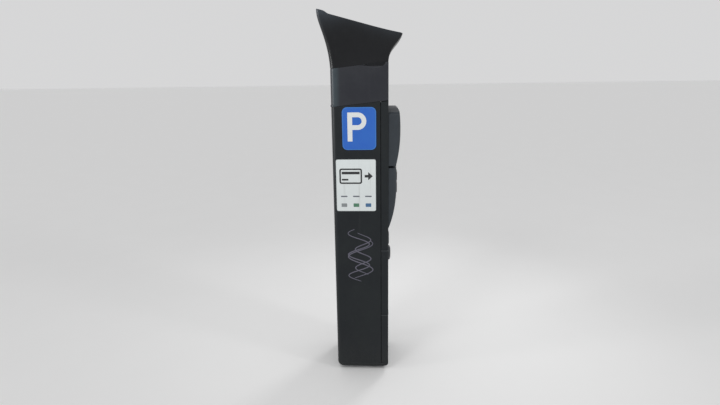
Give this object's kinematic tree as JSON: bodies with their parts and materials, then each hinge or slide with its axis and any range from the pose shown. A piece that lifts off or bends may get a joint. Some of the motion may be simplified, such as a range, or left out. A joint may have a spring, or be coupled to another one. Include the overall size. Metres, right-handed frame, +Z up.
{
  "type": "ticket vending machine",
  "caption": "Tall slim pay-and-display column with a flared solar cowl on a collar, hinged front doors, bulging display and payment fascias, and printer, coin vault and battery inside",
  "frame": {"origin": "centre of the base plate's underside on the ground", "axes": "+Z up; the doors face -Y; +X is the right-hand side of a person facing the doors, where the hinges are"},
  "size_m": [0.356, 0.361, 1.7213],
  "materials": {
    "shell_paint": "satin powder coat over sheet steel",
    "neck_paint": "satin powder coat, a shade lighter",
    "cowl_moulding": "fine grained moulding",
    "fascia_moulding": "slate grey fine grained moulding",
    "boss_casting": "painted casting",
    "zinc_steel": "zinc plated",
    "vault_paint": "semi-gloss grey enamel",
    "bright_steel": "brushed stainless",
    "polished_steel": "ground and polished",
    "black_moulding": "fine texture",
    "seal_rubber": "matt foam rubber",
    "window_glass": "clear polycarbonate",
    "flap_clear": "clear polycarbonate, lightly scratched",
    "display_glass": "dark liquid crystal screen in a black bezel",
    "solar_glass": "dark blue cells under glass",
    "sign_blue": "blue enamelled sign with a white letter",
    "sticker_white": "white vinyl with black marks",
    "battery_case": "moulded case",
    "alloy_case": "anodised case",
    "ticket_paper": "thermal paper",
    "brass_part": "rolled brass",
    "chute_plastic": "pale moulding",
    "selector_plastic": "blue-green moulding",
    "red_key": "red key",
    "green_key": "green key",
    "grey_key": "grey key",
    "lever_green": "green touch point"
  },
  "bodies": {
    "column": {"base_plate": "zinc_steel", "plinth": "shell_paint", "main_housing": "shell_paint", "head_plate": "zinc_steel", "neck_casing": "neck_paint", "solar_cowl": "cowl_moulding", "solar_frame": "black_moulding", "solar_laminate": "solar_glass", "door_crossbars": "zinc_steel", "vault_enclosure": "vault_paint", "coin_box": "bright_steel", "coin_box_lid": "vault_paint", "coin_funnel": "chute_plastic", "battery": "battery_case", "battery_shelf": "zinc_steel", "control_unit": "alloy_case", "antenna": "black_moulding", "solar_cable": "seal_rubber", "printer_frame": "zinc_steel", "print_head": "alloy_case", "paper_spindle": "black_moulding", "hinge_knuckles": "shell_paint", "hinge_pins": "bright_steel", "door_seals": "seal_rubber", "parking_sign": "sign_blue", "payment_sticker": "sticker_white"},
    "upper_door": {"upper_door": "shell_paint", "display_fascia": "fascia_moulding", "payment_fascia": "fascia_moulding", "display_window": "window_glass", "display_module": "display_glass", "button_plate": "black_moulding", "card_reader_mouth": "black_moulding", "card_reader": "alloy_case", "contactless_reader": "display_glass", "coin_slot_plate": "bright_steel", "coin_selector": "selector_plastic", "coin_chute": "chute_plastic", "ticket_cup": "black_moulding", "flap_pin": "polished_steel", "fascia_screws": "bright_steel", "upper_lock_boss": "boss_casting"},
    "vault_door": {"vault_door": "shell_paint", "vault_lock_boss": "boss_casting"},
    "base_door": {"base_door": "shell_paint"},
    "upper_lock": {"upper_lock": "polished_steel"},
    "vault_lock": {"vault_lock": "polished_steel"},
    "base_lock": {"base_lock": "polished_steel"},
    "coin_box_shutter": {"coin_box_shutter": "brass_part"},
    "paper_roll": {"paper_roll": "ticket_paper"},
    "platen_roller": {"platen_roller": "seal_rubber"},
    "cutter_blade": {"cutter_blade": "polished_steel"},
    "head_lever": {"head_lever": "lever_green"},
    "ticket_flap": {"ticket_flap": "flap_clear"},
    "coin_shutter": {"coin_shutter": "brass_part"},
    "cancel_button": {"cancel_button": "red_key"},
    "confirm_button": {"confirm_button": "green_key"},
    "minus_button": {"minus_button": "grey_key"},
    "plus_button": {"plus_button": "grey_key"},
    "coin_return_button": {"coin_return_button": "bright_steel"}
  },
  "joints": [
    {"name": "upper_door_hinge", "type": "hinge", "parent": "column", "child": "upper_door", "pos_m": [0.145, -0.093, 0.7055], "axis": [0, 0, 1], "range_deg": [0, 105]},
    {"name": "vault_door_hinge", "type": "hinge", "parent": "column", "child": "vault_door", "pos_m": [0.145, -0.093, 0.3695], "axis": [0, 0, 1], "range_deg": [0, 105]},
    {"name": "base_door_hinge", "type": "hinge", "parent": "column", "child": "base_door", "pos_m": [0.145, -0.093, 0.098], "axis": [0, 0, 1], "range_deg": [0, 105]},
    {"name": "upper_lock_turn", "type": "hinge", "parent": "upper_door", "child": "upper_lock", "pos_m": [-0.062, -0.128, 0.682], "axis": [0, 1, 0], "range_deg": [0, 90]},
    {"name": "vault_lock_turn", "type": "hinge", "parent": "vault_door", "child": "vault_lock", "pos_m": [-0.062, -0.128, 0.605], "axis": [0, -1, 0], "range_deg": [0, 90]},
    {"name": "base_lock_turn", "type": "hinge", "parent": "base_door", "child": "base_lock", "pos_m": [-0.062, -0.128, 0.279], "axis": [0, -1, 0], "range_deg": [0, 90]},
    {"name": "cancel_press", "type": "slide", "parent": "upper_door", "child": "cancel_button", "axis": [0, 1, 0], "range_m": [0, 0.003], "stiffness_N_per_m": 400, "springref_m": -0.001},
    {"name": "minus_press", "type": "slide", "parent": "upper_door", "child": "minus_button", "axis": [0, 1, 0], "range_m": [0, 0.003], "stiffness_N_per_m": 400, "springref_m": -0.001},
    {"name": "plus_press", "type": "slide", "parent": "upper_door", "child": "plus_button", "axis": [0, 1, 0], "range_m": [0, 0.003], "stiffness_N_per_m": 400, "springref_m": -0.001},
    {"name": "confirm_press", "type": "slide", "parent": "upper_door", "child": "confirm_button", "axis": [0, 1, 0], "range_m": [0, 0.003], "stiffness_N_per_m": 400, "springref_m": -0.001},
    {"name": "coin_return_press", "type": "slide", "parent": "upper_door", "child": "coin_return_button", "axis": [0, 1, 0], "range_m": [0, 0.004], "stiffness_N_per_m": 400, "springref_m": -0.001},
    {"name": "coin_shutter_slide", "type": "slide", "parent": "upper_door", "child": "coin_shutter", "axis": [1, 0, 0], "range_m": [0, 0.01], "stiffness_N_per_m": 60, "springref_m": -0.001},
    {"name": "ticket_flap_hinge", "type": "hinge", "parent": "upper_door", "child": "ticket_flap", "pos_m": [0, -0.148, 0.8995], "axis": [1, 0, 0], "range_deg": [0, 45]},
    {"name": "platen_spin", "type": "hinge", "parent": "column", "child": "platen_roller", "pos_m": [0, -0.0415, 0.8885], "axis": [1, 0, 0], "continuous": true},
    {"name": "paper_roll_spin", "type": "hinge", "parent": "column", "child": "paper_roll", "pos_m": [0, 0.0105, 1.0265], "axis": [1, 0, 0], "continuous": true},
    {"name": "cutter_slide", "type": "slide", "parent": "column", "child": "cutter_blade", "axis": [0, 0, -1], "range_m": [0, 0.01], "stiffness_N_per_m": 120, "springref_m": -0.003},
    {"name": "head_lever_turn", "type": "hinge", "parent": "column", "child": "head_lever", "pos_m": [0, -0.0195, 0.9105], "axis": [1, 0, 0], "range_deg": [0, 60]},
    {"name": "box_shutter_slide", "type": "slide", "parent": "column", "child": "coin_box_shutter", "axis": [1, 0, 0], "range_m": [0, 0.046]}
  ],
  "couplings": [
    {"joint": "paper_roll_spin", "follows": "platen_spin", "ratio": -0.17308}
  ]
}
